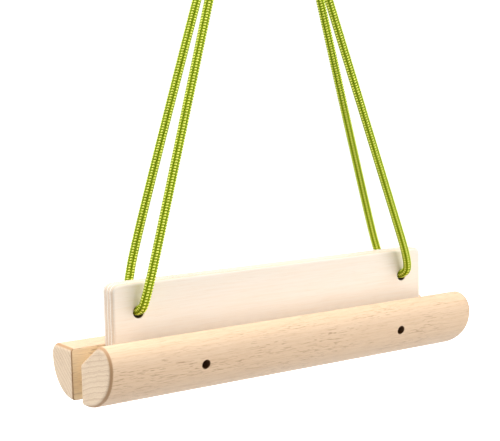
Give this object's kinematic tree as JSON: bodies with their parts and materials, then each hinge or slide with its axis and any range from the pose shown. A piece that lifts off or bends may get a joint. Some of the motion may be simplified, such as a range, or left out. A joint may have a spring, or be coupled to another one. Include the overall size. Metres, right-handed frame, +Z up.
{
  "type": "hanging wooden grip bar",
  "caption": "Portable finger-training bar: plywood plate clamped between two rounded hardwood rails, hung on braided cord from a steel ring.",
  "frame": {"origin": "the point inside the top of the ring where a hook bears, straight above the bar's weight", "axes": "+X along the rails, -Y out of the side with the deeper sloping rail, +Z up"},
  "size_m": [0.4, 0.1105, 0.645],
  "materials": {
    "plywood": "oiled birch plywood, sanded edges",
    "beech": "oiled beech, fine sanded",
    "screw_steel": "plain stainless",
    "cord": "braided polyamide cord, yellow-green",
    "ring_steel": "polished stainless"
  },
  "bodies": {
    "hanger": {"ring": "ring_steel"},
    "sling": {"hanging_loop": "cord"},
    "bar": {"plate": "plywood", "near_rail": "beech", "far_rail": "beech", "screw_left": "screw_steel", "screw_right": "screw_steel", "left_cord": "cord", "right_cord": "cord", "knot": "cord", "cord_tails": "cord"}
  },
  "joints": [
    {"name": "swing_front", "type": "hinge", "parent": "hanger", "child": "sling", "pos_m": [0, 0, -0.0355], "axis": [1, 0, 0], "range_deg": [-40, 40]},
    {"name": "swing_side", "type": "hinge", "parent": "sling", "child": "bar", "pos_m": [0, 0, -0.0665], "axis": [0, 1, 0], "range_deg": [-25, 25]}
  ]
}
